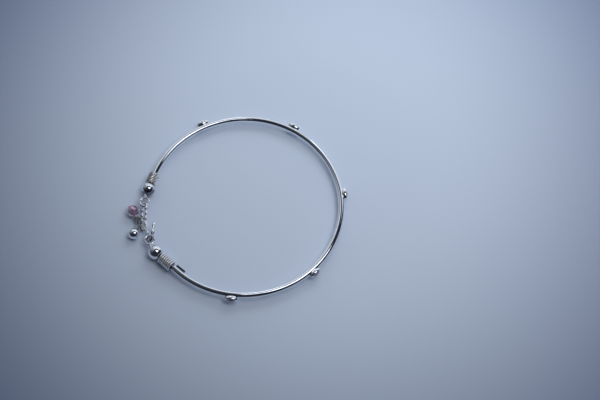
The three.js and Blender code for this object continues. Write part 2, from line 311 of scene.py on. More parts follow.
@dataclass(frozen=True)
class Socket:
    """An output of a node, with which arithmetic adds Math nodes."""

    shader: "Shader"
    link: Optional[bpy.types.NodeSocket]  # none for a node without outputs

    def _math(self, operation: str, first: Value, second: Value) -> "Socket":
        """The result of one Math node."""
        return self.shader.node("ShaderNodeMath", {"operation": operation}, {0: first, 1: second})

    def __add__(self, other: Value) -> "Socket":
        """This plus other."""
        return self._math("ADD", self, other)

    def __radd__(self, other: Value) -> "Socket":
        """Other plus this."""
        return self._math("ADD", other, self)

    def __sub__(self, other: Value) -> "Socket":
        """This minus other."""
        return self._math("SUBTRACT", self, other)

    def __rsub__(self, other: Value) -> "Socket":
        """Other minus this."""
        return self._math("SUBTRACT", other, self)

    def __mul__(self, other: Value) -> "Socket":
        """This times other."""
        return self._math("MULTIPLY", self, other)

    def __rmul__(self, other: Value) -> "Socket":
        """Other times this."""
        return self._math("MULTIPLY", other, self)


class Shader:
    """A node tree, to which one method adds nodes."""

    def __init__(self, tree: bpy.types.NodeTree) -> None:
        """Takes the tree of a material or a world, and empties it."""
        self.tree = tree
        self.tree.nodes.clear()

    def node(
        self,
        kind: str,
        settings: dict[str, Any],
        sockets: dict[Union[str, int], Any],
        output: Union[str, int] = 0,
    ) -> Socket:
        """Adds a node.

        Args:
            kind: the node's type.
            settings: its properties, and a ramp's stops as a list of place and colour.
            sockets: the value or the link of each input, by name or number.
            output: the output that is wanted.

        Returns:
            That output.
        """
        made = self.tree.nodes.new(kind)
        for name, value in settings.items():
            if name == "stops":
                self._set_stops(made.color_ramp, value)
            else:
                setattr(made, name, value)
        for name, value in sockets.items():
            if isinstance(value, Socket):
                self.tree.links.new(value.link, made.inputs[name])
            else:
                made.inputs[name].default_value = value
        return Socket(self, made.outputs[output] if len(made.outputs) else None)

    @staticmethod
    def _set_stops(ramp: bpy.types.ColorRamp, stops: Sequence[tuple[float, Color]]) -> None:
        """Gives a ramp its stops.

        Args:
            ramp: a new ramp, which has two stops.
            stops: the place and the colour of each stop, two or more, in order.
        """
        while len(ramp.elements) < len(stops):
            ramp.elements.new(0.5)
        for element, (position, color) in zip(ramp.elements, stops):
            element.position = position
            element.color = (*color, 1.0)

    def place(self) -> Socket:
        """The point being shaded, in the object's own frame."""
        return self.node("ShaderNodeTexCoord", {}, {}, "Object")

    def measure(self, operation: str, first: Any, second: Any) -> Socket:
        """The number that a Vector Math node works out from two vectors."""
        sockets = {0: first, 1: second}
        return self.node("ShaderNodeVectorMath", {"operation": operation}, sockets, "Value")

    def along(self, axis: Point) -> Socket:
        """How far the shaded point lies along an axis from the object's origin."""
        return self.measure("DOT_PRODUCT", self.place(), axis)

    def noise(self, size: float, texture: Texture) -> Socket:
        """Cloudy noise.

        Args:
            size: the size of its blotches, in millimetres.
            texture: how it is broken up.

        Returns:
            Its value, from 0 to 1.
        """
        detail, roughness = texture.value
        values = {"Scale": 1 / (size * MM), "Detail": detail, "Roughness": roughness}
        return self.node("ShaderNodeTexNoise", {}, {"Vector": self.place(), **values}, "Fac")

    def between(self, value: Socket, low: float, high: float) -> Socket:
        """A value's place between two limits.

        Args:
            value: the value.
            low: the limit at which the place is 0.
            high: the limit at which the place is 1.

        Returns:
            The place, eased at both limits.
        """
        settings = {"interpolation_type": "SMOOTHSTEP"}
        limits = {"From Min": low, "From Max": high}
        return self.node("ShaderNodeMapRange", settings, {"Value": value, **limits})

    def blend(self, share: Value, first: Any, second: Any) -> Socket:
        """A mix of two colours.

        Args:
            share: how much of the second.
            first: a colour or its link.
            second: a colour or its link.

        Returns:
            The mixed colour.
        """
        first, second = (c if isinstance(c, Socket) else (*c, 1.0) for c in (first, second))
        sockets = {MIX_SHARE: share, MIX_FIRST: first, MIX_SECOND: second}
        return self.node("ShaderNodeMix", {"data_type": "RGBA"}, sockets, MIX_RESULT)

    def bump(self, height: Value, depth: float, under: Optional[Socket] = None) -> Socket:
        """A normal that is tilted by a height.

        Args:
            height: the height, from 0 to 1.
            depth: the depth of that range, in millimetres.
            under: the normal that it adds to, where that isn't the surface's own.

        Returns:
            The normal.
        """
        sockets = {"Strength": 1.0, "Distance": depth * MM, "Height": height}
        if under is not None:
            sockets["Normal"] = under
        return self.node("ShaderNodeBump", {}, sockets)


def surface(name: str, build: Callable[[Shader], dict[str, Any]]) -> bpy.types.Material:
    """A material with one Principled shader.

    Args:
        name: the material's name.
        build: makes the nodes and gives the value or link of each socket of the shader.

    Returns:
        The material.
    """
    material = bpy.data.materials.new(name)
    material.use_nodes = True
    shader = Shader(material.node_tree)
    body = shader.node("ShaderNodeBsdfPrincipled", {}, build(shader))
    shader.node("ShaderNodeOutputMaterial", {}, {"Surface": body})
    return material


# ---- finishes -----------------------------------------------------------------------------------
@dataclass(frozen=True)
class SilverFinish:
    """Silver, from a mirror polish to a satin one."""

    name: str
    slot: str
    bright: Color
    dull: Color  # where it has tarnished, and the colour of any painted shade
    tarnish: tuple[float, float]  # the noise values between which it sets in
    roughness: tuple[float, float]  # in the cleanest places and in the most rubbed ones
    smear: float  # size of the rubbed patches
    grain: float  # size of the fine marks
    depth: float  # depth of the fine marks
    waver: float = 0.0  # depth of the slow unevenness
    metallic: float = 1.0  # less where the surface is matt white
    painted_shade_side: Point = (0.0, 0.0, 0.0)  # the side on which shade is painted, if any
    painted_shade_past: tuple[float, float] = (0.0, 1.0)  # how far that way the painted shade sets in, in millimetres
    rubbed: tuple[float, float] = (0.35, 0.75)  # the noise values between which it is rubbed
    stain_size: float = 0.6  # of the tarnished spots, over the rubbed patches
    stain_roughness: float = 0.06  # that tarnish adds
    waver_size: float = 1.4  # of the slow unevenness, over the rubbed patches

    def material(self) -> bpy.types.Material:
        """The finish as a material."""
        return surface(self.name, self._sockets)

    def _sockets(self, shader: Shader) -> dict[str, Any]:
        """Makes the nodes of the finish.

        Args:
            shader: the material's node tree.

        Returns:
            The value or the link of each socket of the Principled shader.
        """
        patches = shader.noise(self.smear, Texture.PATCHY)
        spots = shader.noise(self.smear * self.stain_size, Texture.MOTTLED)
        tarnish_and_shade = shader.between(spots, *self.tarnish)
        # painted shade: one side is darkened towards the dull colour, on top of the tarnish
        if any(self.painted_shade_side):
            edge = (value * MM for value in self.painted_shade_past)
            side = shader.between(shader.along(self.painted_shade_side), *edge)
            tarnish_and_shade = tarnish_and_shade + side * (1.0 - tarnish_and_shade)
        low, high = self.roughness
        rough = low + shader.between(patches, *self.rubbed) * (high - low)
        marks = shader.bump(shader.noise(self.grain, Texture.GRAINY), self.depth)
        if self.waver:
            slow = shader.noise(self.smear * self.waver_size, Texture.SOFT)
            marks = shader.bump(slow, self.waver, under=marks)
        return {
            "Base Color": shader.blend(tarnish_and_shade, self.bright, self.dull),
            "Metallic": self.metallic,
            "Roughness": rough + tarnish_and_shade * self.stain_roughness,
            "Normal": marks,
        }


@dataclass(frozen=True)
class GlassFinish:
    """Tinted cut glass, whose tint changes along an axis, darkening into painted shade where its
    last tint is dark.
    """

    name: str
    slot: str
    tints_and_shade: tuple[Color, Color, Color]  # from one end of the axis to the other; a dark last tint is painted shade
    cloud: float  # size of the patches of each tint
    clearness: float
    mirror: float  # how much of its light is mirrored, as from a foiled back
    ior: float
    roughness: float
    ripple: float = 0.004  # depth of the unevenness of its facets
    axis: Point = (0.0, 0.0, 1.0)  # the way in which the tint, and any painted shade, changes
    middle: Point = (0.0, 0.0, 0.0)  # where it is half way, in millimetres
    spread: float = 4.0  # over how many millimetres
    purest: tuple[float, float, float] = (0.15, 0.5, 0.85)  # where in it each tint is unmixed
    patchiness: float = 0.7  # how far the patches shift the tint
    ripple_size: float = 0.45  # of the unevenness, over the patches
    dust_size: float = 0.5  # of the dull spots, over the patches
    dusty: tuple[float, float] = (0.4, 0.9)  # the noise values between which they set in
    dust_roughness: float = 0.05  # that they add
    gloss: float = 0.5
    gloss_roughness: float = 0.02

    def material(self) -> bpy.types.Material:
        """The finish as a material."""
        return surface(self.name, self._sockets)

    def _sockets(self, shader: Shader) -> dict[str, Any]:
        """Makes the nodes of the finish.

        Args:
            shader: the material's node tree.

        Returns:
            The value or the link of each socket of the Principled shader.
        """
        middle = Vector(self.middle).dot(Vector(self.axis)) * MM
        cloud = shader.noise(self.cloud, Texture.CLOUDY)
        share = (shader.along(self.axis) - middle) * (1 / (self.spread * MM))
        shifted = share + 0.5 + (cloud - 0.5) * self.patchiness
        stops = list(zip(self.purest, self.tints_and_shade))
        spots = shader.noise(self.cloud * self.dust_size, Texture.PATCHY)
        dust = shader.between(spots, *self.dusty)
        ripples = shader.noise(self.cloud * self.ripple_size, Texture.SOFT)
        return {
            "Base Color": shader.node("ShaderNodeValToRGB", {"stops": stops}, {0: shifted}),
            "Roughness": self.roughness + dust * self.dust_roughness,
            "Metallic": self.mirror,
            "Transmission Weight": self.clearness,
            "IOR": self.ior,
            "Coat Weight": self.gloss,
            "Coat Roughness": self.gloss_roughness,
            "Normal": shader.bump(ripples, self.ripple),
        }


POLISHED = SilverFinish(
    name="polished_silver",
    slot="silver",
    bright=(0.89, 0.93, 0.98),
    dull=(0.74, 0.76, 0.78),
    tarnish=(0.7, 0.9),
    roughness=(0.03, 0.07),
    smear=5.0,
    grain=0.35,
    depth=0.002,
    waver=0.02,
)
COILED = SilverFinish(
    name="coiled_silver",
    slot="worn_silver",
    bright=(0.9, 0.9, 0.9),
    dull=(0.42, 0.4, 0.38),
    tarnish=(0.45, 0.7),
    roughness=(0.05, 0.14),
    smear=1.6,
    grain=0.3,
    depth=0.003,
)
# Dark silver: on the sleeves under the coils, on the tag and on the leaf's folded edge.
DARK_SILVER = SilverFinish(
    name="dark_silver",
    slot="silver",
    bright=(0.2, 0.2, 0.24),
    dull=(0.07, 0.07, 0.09),
    tarnish=(0.4, 0.7),
    roughness=(0.12, 0.3),
    smear=1.2,
    grain=0.2,
    depth=0.004,
)
OLIVE_WIRE = SilverFinish(
    name="yellowed_silver",
    slot="worn_silver",
    bright=(0.58, 0.6, 0.56),
    dull=(0.17, 0.17, 0.16),
    tarnish=(0.38, 0.62),
    roughness=(0.1, 0.25),
    smear=1.4,
    grain=0.2,
    depth=0.005,
)
WOUND = SilverFinish(
    name="matt_wound_silver",
    slot="worn_silver",
    bright=(0.86, 0.87, 0.88),
    dull=(0.5, 0.5, 0.5),
    tarnish=(0.5, 0.75),
    roughness=(0.18, 0.32),
    smear=1.4,
    grain=0.25,
    depth=0.004,
    metallic=0.6,
)
# The back ball's silver, with painted shade and painted dark reflections on its lower side, towards
# its ring.
SHADED = SilverFinish(
    name="shaded_silver",
    slot="silver",
    bright=(0.85, 0.88, 0.93),
    dull=(0.19, 0.2, 0.25),
    tarnish=(0.75, 0.95),
    roughness=(0.04, 0.09),
    smear=4.0,
    grain=0.35,
    depth=0.002,
    waver=0.02,
    painted_shade_side=(0.0, -0.9, -0.43),
    painted_shade_past=(-12.1, -11.2),  # painted shade, from the middle of the back ball on
)
BEATEN = SilverFinish(
    name="beaten_silver",
    slot="silver",
    bright=(0.93, 0.96, 1.0),
    dull=(0.26, 0.27, 0.32),
    tarnish=(0.54, 0.68),
    roughness=(0.08, 0.18),
    smear=1.8,
    grain=0.3,
    depth=0.006,
)
HOOK_SILVER = replace(
    BEATEN,
    name="hook_silver",
    dull=(0.42, 0.42, 0.48),
    painted_shade_side=(0.0, -1.0, 0.0),
    painted_shade_past=(6.7, 7.5),  # painted shade on the bend that goes through the front ring
)
FROSTED = SilverFinish(
    name="frosted_silver",
    slot="silver",
    bright=(0.96, 0.96, 1.0),
    dull=(0.9, 0.9, 0.96),
    tarnish=(0.6, 0.9),
    roughness=(0.34, 0.5),
    smear=1.2,
    grain=0.2,
    depth=0.012,
    metallic=0.15,
)
STONE_GLASS = GlassFinish(
    name="pale_pink_stone",
    slot="stone",
    tints_and_shade=((0.97, 0.94, 0.97), (0.94, 0.85, 0.92), (0.86, 0.66, 0.78)),
    cloud=1.2,
    clearness=0.9,
    mirror=0.15,
    ior=1.7,
    roughness=0.02,
)
# The bead's dark third tint, towards +X beside the clasp, is painted shade and a painted reflection
# of the dark metal; its pinks are the glass's own.
BEAD_GLASS = GlassFinish(
    name="pink_bead_glass",
    slot="pink_glass",
    tints_and_shade=((0.94, 0.88, 0.97), (0.98, 0.68, 0.88), (0.45, 0.26, 0.38)),
    cloud=1.0,
    clearness=0.75,
    mirror=0.45,
    ior=1.62,
    roughness=0.02,
    ripple=0.03,
    axis=(0.9, 0.43, 0.0),
    middle=(-43.0, 3.85, 2.35),
    spread=4.4,
)
Finish = Union[SilverFinish, GlassFinish]


class Workshop:
    """Makes finished pieces, and each finish once."""

    def __init__(self) -> None:
        """Starts with no finish and no piece made."""
        self.materials: dict[str, bpy.types.Material] = {}
        self.made: list[str] = []

    def piece(
        self,
        name: str,
        form: Form,
        finish: Finish,
        stands_for: Sequence[str],
        shading: Shading = Shading.SMOOTH,
        sharp_deg: float = 40.0,
    ) -> None:
        """Makes one piece of the bangle.

        Args:
            name: the piece's name.
            form: its surface, in millimetres.
            finish: its finish.
            stands_for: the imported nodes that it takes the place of.
            shading: whether its faces are smooth or flat.
            sharp_deg: the angle from which an edge of a smooth piece stays sharp.
        """
        mesh = bpy.data.meshes.new(name)
        mesh.from_pydata([point * MM for point in form.points], [], form.faces)
        mesh.validate()
        if shading is Shading.SMOOTH:
            mesh.shade_smooth()
            mesh.set_sharp_from_angle(angle=math.radians(sharp_deg))
        mesh.materials.append(self._material(finish))
        made = bpy.data.objects.new(name, mesh)
        bpy.context.scene.collection.objects.link(made)
        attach(made, BODY)
        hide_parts(*stands_for)
        self.made.append(name)
        LOG.info("%s: %d faces, %s", name, len(form.faces), finish.name)

    def _material(self, finish: Finish) -> bpy.types.Material:
        """The material of a finish.

        Args:
            finish: the finish.

        Returns:
            Its material, made when it is first asked for.
        """
        if finish.name not in self.materials:
            self.materials[finish.name] = finish.material()
        return self.materials[finish.name]


# ---- the hoop and its ends ----------------------------------------------------------------------
@dataclass(frozen=True)
class HoopEnd:
    """One end of the hoop: where it straightens, and what it carries."""

    name: str
    arc_end_deg: float
    turn: int  # the way round in which the end points
    straight: float  # from the bend to the centre of the ball
    ball_radius: float
    sleeve_radius: float
    coil_start: float
    coil_wire: float
    coil_pitch: float  # length of one turn, negative the other way round
    strands: int  # wires side by side in the coil
    ring_centre: Point

    @property
    def wire_end(self) -> float:
        """How far past the bend the wire runs."""
        return self.straight - self.ball_radius - GAP

    @property
    def wound(self) -> float:
        """The radius at which the coil is wound, to the middle of its wire."""
        return self.sleeve_radius + GAP + self.coil_wire

    @property
    def coil_stop(self) -> float:
        """How far past the bend the coil stops, just short of the ball."""
        clear = self.ball_radius + self.coil_wire + GAP
        return self.straight - math.sqrt(clear**2 - self.wound**2)

    def frame(self, along: float) -> tuple[Vector, Vector, Vector]:
        """The hoop's line near this end.

        Args:
            along: the distance past the bend, negative on the arc.

        Returns:
            The point, the direction away from the hoop's centre, and the way on.
        """
        bend = math.radians(self.arc_end_deg) + self.turn * min(along, 0.0) / HOOP_RADIUS
        outward = Vector((math.cos(bend), math.sin(bend), 0.0))
        onward = Vector((-outward.y, outward.x, 0.0)) * self.turn
        point = outward * HOOP_RADIUS + UP * REST_HEIGHT + onward * max(along, 0.0)
        return point, outward, onward

    def line(self, start: float, stop: float, steps: int) -> list[Vector]:
        """Points of the hoop's line, evenly spaced between two distances past the bend."""
        return [self.frame(start + (stop - start) * i / steps)[0] for i in range(steps + 1)]


@dataclass
class Hoop:
    """The hoop's wire with its sleeves and tag."""

    front: HoopEnd
    back: HoopEnd
    wire_radius: float = 1.2
    wire_tip: float = 0.5  # how far its line stops short; its rounding runs on into the ball
    wire_steps: int = 240  # in each half of the hoop
    wire_join: float = 0.7  # the step from one half to the other
    sides: int = 40  # round the wire and its sleeves
    sleeve_lead: float = 0.8  # how far a sleeve starts before its coil, in the coil's wires
    sleeve_tip: float = 0.3  # how far its line stops short; its rounding runs on into the ball
    sleeve_thinning: float = 0.12  # of its radius, at its start
    sleeve_taper: float = 0.12  # the share of its length over which it thins
    tag_angle_deg: float = -140.1
    tag_length: float = 4.2
    tag_height: float = 0.9
    tag_thickness: float = 0.65
    tag_stands_in: float = 1.95  # from the hoop's centre-line to the tag's inner face
    tag_rise: float = 0.2
    tag_rounding: float = 0.1
    # The inset and the depth of each level of the tag's rim, over its rounding.
    tag_rim: tuple[tuple[float, float], ...] = ((1.0, 0.0), (0.35, 0.35), (0.0, 1.0))
    tag_end_steps: int = 12  # round each of its ends
    stands_for: tuple[str, ...] = ("hoop",)

    def build(self, shop: Workshop) -> None:
        """Makes the wire, the sleeves and the tag.

        Args:
            shop: makes the pieces.
        """
        wire = tube(self._line(), self.wire_radius, self.sides)
        shop.piece("hoop_wire", wire, POLISHED, self.stands_for)
        for end in (self.front, self.back):
            start = end.coil_start - end.coil_wire * self.sleeve_lead
            line = end.line(start, end.wire_end - self.sleeve_tip, 24)
            sleeve = tube(line, self._sleeve_width(end), self.sides, dome=3)
            shop.piece(f"end_sleeve_{end.name}", sleeve, DARK_SILVER, self.stands_for)
        shop.piece("wire_tag", self._tag(), DARK_SILVER, self.stands_for, sharp_deg=50)

    def _line(self) -> list[Vector]:
        """The wire's centre-line.

        Returns:
            Its points, from the front tip to the back tip.
        """
        half = HOOP_RADIUS * math.radians(self.back.arc_end_deg - self.front.arc_end_deg) / 2
        steps = self.wire_steps
        front = self.front.line(-half, self.front.wire_end - self.wire_tip, steps)
        back = self.back.line(self.wire_join - half, self.back.wire_end - self.wire_tip, steps)
        return front[::-1] + back

    def _sleeve_width(self, end: HoopEnd) -> Callable[[float], float]:
        """A sleeve's radius along it: it thins to the wire at its start."""
        thinning, taper = self.sleeve_thinning, self.sleeve_taper
        return lambda share: end.sleeve_radius - thinning * max(0.0, 1 - share / taper) ** 2

    def _tag(self) -> Form:
        """The oblong plate on the inside of the wire, with round ends and rounded rims.

        Returns:
            Its surface.
        """
        half = self.tag_length / 2 - self.tag_height / 2
        rim = self.tag_rounding
        sections = [(rim * inset, rim * depth) for inset, depth in self.tag_rim]
        sections += [(inset, self.tag_thickness - depth) for inset, depth in sections[::-1]]
        rows = []
        for inset, depth in sections:
            reach = self.tag_height / 2 - inset
            row = []
            for side, start in ((1, -0.5), (-1, 0.5)):
                for i in range(self.tag_end_steps + 1):
                    angle = math.pi * (start + i / self.tag_end_steps)
                    x = side * half + reach * math.cos(angle)
                    row.append(Vector((x, reach * math.sin(angle), depth)))
            rows.append(row)
        angle = math.radians(self.tag_angle_deg)
        inward = Vector((-math.cos(angle), -math.sin(angle), 0.0))
        origin = inward * (self.tag_stands_in - HOOP_RADIUS)
        origin += UP * (REST_HEIGHT + self.tag_rise)
        matrix = basis(inward.cross(UP), UP, -inward, origin)
        return rows_to_form(rows, wrap=False, caps=True).moved(matrix)


@dataclass
class WireEnd:
    """What an end of the hoop carries: the coil, the ball and the ring on its pin."""

    end: HoopEnd
    coil_finish: SilverFinish = COILED
    ball_finish: SilverFinish = POLISHED
    coil_step: float = 0.12  # between the points of a strand's line
    binding_swell: float = 1.03  # how thick the binding ring is, in the coil's wires
    ball_trim: float = 0.03  # keeps the ball inside its packed size
    ball_rows: int = 48
    pin_radius: float = 0.5
    pin_grip: float = 2.0  # how far the pin runs back inside the wire
    ring_radius: float = 1.75
    ring_wire: float = 0.42

    def build(self, shop: Workshop) -> None:
        """Makes the coil, the ball, the ring and the pin.

        Args:
            shop: makes the pieces.
        """
        name = self.end.name
        shop.piece(f"end_coil_{name}_turns", self._coil(), self.coil_finish, [f"end_coil_{name}"])
        shop.piece(f"end_ball_{name}_shell", self._ball(), self.ball_finish, [f"end_ball_{name}"])
        ring = circle(Vector(self.end.ring_centre), UP, self.ring_radius, 72)
        loop = tube(ring, self.ring_wire, 20, closed=True)
        shop.piece(f"end_ring_{name}_loop", loop, BEATEN, [f"end_ring_{name}"])
        shop.piece(f"end_ring_{name}_pin", self._pin(), POLISHED, [f"end_ring_{name}"])

    def _coil(self) -> Form:
        """The wires wound round the sleeve, bound by a ring where there are several.

        Returns:
            Their surface.
        """
        end, form = self.end, Form()
        reach = end.coil_stop - end.coil_start
        turns = reach / end.coil_pitch
        steps = round(math.hypot(2 * math.pi * end.wound * turns, reach) / self.coil_step)
        for strand in range(end.strands):
            line = []
            for i in range(steps + 1):
                share = i / steps
                point, outward, _ = end.frame(end.coil_start + share * reach)
                angle = 2 * math.pi * (turns * share + strand / end.strands)
                radial = outward * math.cos(angle) + UP * math.sin(angle)
                line.append(point + radial * end.wound)
            form.add(tube(line, end.coil_wire, 16, dome=4))
        if end.strands > 1:
            point, _, onward = end.frame(end.coil_start)
            ring = circle(point, onward, end.wound, 64)
            form.add(tube(ring, end.coil_wire * self.binding_swell, 16, closed=True))
        return form

    def _ball(self) -> Form:
        """The drilled ball.

        Returns:
            Its surface, with the bore.
        """
        radius = self.end.ball_radius - self.ball_trim
        bore = math.asin((self.pin_radius + GAP) / radius)
        profile = []
        for i in range(self.ball_rows + 1):
            angle = bore + (math.pi - 2 * bore) * i / self.ball_rows
            profile.append((radius * math.sin(angle), -radius * math.cos(angle)))
        point, _, onward = self.end.frame(self.end.straight)
        return lathe(profile, 72, closed=True).moved(placed(point, onward))

    def _pin(self) -> Form:
        """The pin from inside the wire, through the ball and on to the ring.

        Returns:
            Its surface.
        """
        end = self.end
        centre = Vector(end.ring_centre)
        foot = end.frame(end.wire_end - self.pin_grip)[0]
        bend = end.frame(end.straight + end.ball_radius + GAP)[0]
        rim = centre + (bend - centre).normalized() * self.ring_radius
        straight = [foot.lerp(bend, i / 20) for i in range(20)]
        bent = [bend.lerp(rim, i / 6) for i in range(7)]
        return tube(straight + bent, self.pin_radius, 20, dome=3)


@dataclass
class Studs:
    """The smooth oval collets with their stones."""

    angles_deg: tuple[float, ...] = (106.7, 51.9, -1.5, -55.0, -105.6)
    flattening: float = 0.56  # its height over its length along the wire
    foot: float = 0.62  # where the collet starts, inside the wire
    neck: float = 1.0
    belly: float = 2.6
    belly_at: float = 1.85
    rim_radius: float = 2.1
    reach: float = 2.36
    lip: float = 0.12  # from the seat out to the rim
    lip_drop: float = 0.1
    seat_foot: float = 1.9  # where the seat's wall ends
    floor: Ring = (1.1, 1.6)  # under the stone
    stone_radius: float = 1.5
    stone_table: float = 0.8
    stone_sides: int = 10
    girdle_at: float = 2.15
    girdle_half: float = 0.07
    crown: float = 0.58
    pavilion: float = 0.4

    def build(self, shop: Workshop) -> None:
        """Makes each collet and stone.

        Args:
            shop: makes the pieces.
        """
        for number, angle_deg in enumerate(self.angles_deg, start=1):
            matrix = self._matrix(angle_deg)
            collet = self._collet().moved(matrix)
            shop.piece(f"stud_collet_{number}", collet, POLISHED, ["hoop"], sharp_deg=60)
            name = f"stud_stone_{number}"
            stone = self._stone().moved(matrix)
            shop.piece(f"{name}_cut", stone, STONE_GLASS, [name], Shading.FLAT)

    def _matrix(self, angle_deg: float) -> Matrix:
        """A stud's frame.

        Args:
            angle_deg: where it sits round the hoop.

        Returns:
            The matrix: +Z outwards, +X along the wire, +Y up and flattened.
        """
        angle = math.radians(angle_deg)
        outward = Vector((math.cos(angle), math.sin(angle), 0.0))
        origin = outward * HOOP_RADIUS + UP * REST_HEIGHT
        return basis(UP.cross(outward), UP * self.flattening, outward, origin)

    def _collet(self, segments: int = 96, steps: int = 22) -> Form:
        """The cup: it swells from its neck to its belly, rounds over and turns in to the seat.

        Args:
            segments: the number of steps round it.
            steps: the number of steps up to its belly, and again from there to its rim.

        Returns:
            Its surface.
        """
        seat = self.stone_radius + GAP / self.flattening
        quarter = [0.5 * math.pi * i / steps for i in range(1, steps + 1)]
        below, above = self.belly_at - self.foot, self.reach - self.belly_at
        profile = [(self.neck, self.foot)]
        for angle in quarter:
            radius = self.neck + (self.belly - self.neck) * math.sin(angle)
            profile.append((radius, self.foot + below * (1 - math.cos(angle))))
        for angle in quarter:
            radius = self.rim_radius + (self.belly - self.rim_radius) * math.cos(angle)
            profile.append((radius, self.belly_at + above * math.sin(angle)))
        profile += [(seat + self.lip, self.reach), (seat, self.reach - self.lip_drop)]
        profile += [(seat, self.seat_foot), self.floor]
        return lathe(profile, segments)

    def _stone(self) -> Form:
        """The cut stone: a pavilion, a girdle, a crown of two rows and a flat table.

        Returns:
            Its surface.
        """
        radius, girdle = self.stone_radius, self.girdle_at
        profile = [
            (radius * 0.5, girdle - self.pavilion),
            (radius, girdle - self.girdle_half),
            (radius * 0.99, girdle + self.girdle_half),
            (radius * 0.85, girdle + self.crown * 0.6),
            (self.stone_table, girdle + self.crown),
        ]
        return faceted(profile, self.stone_sides)


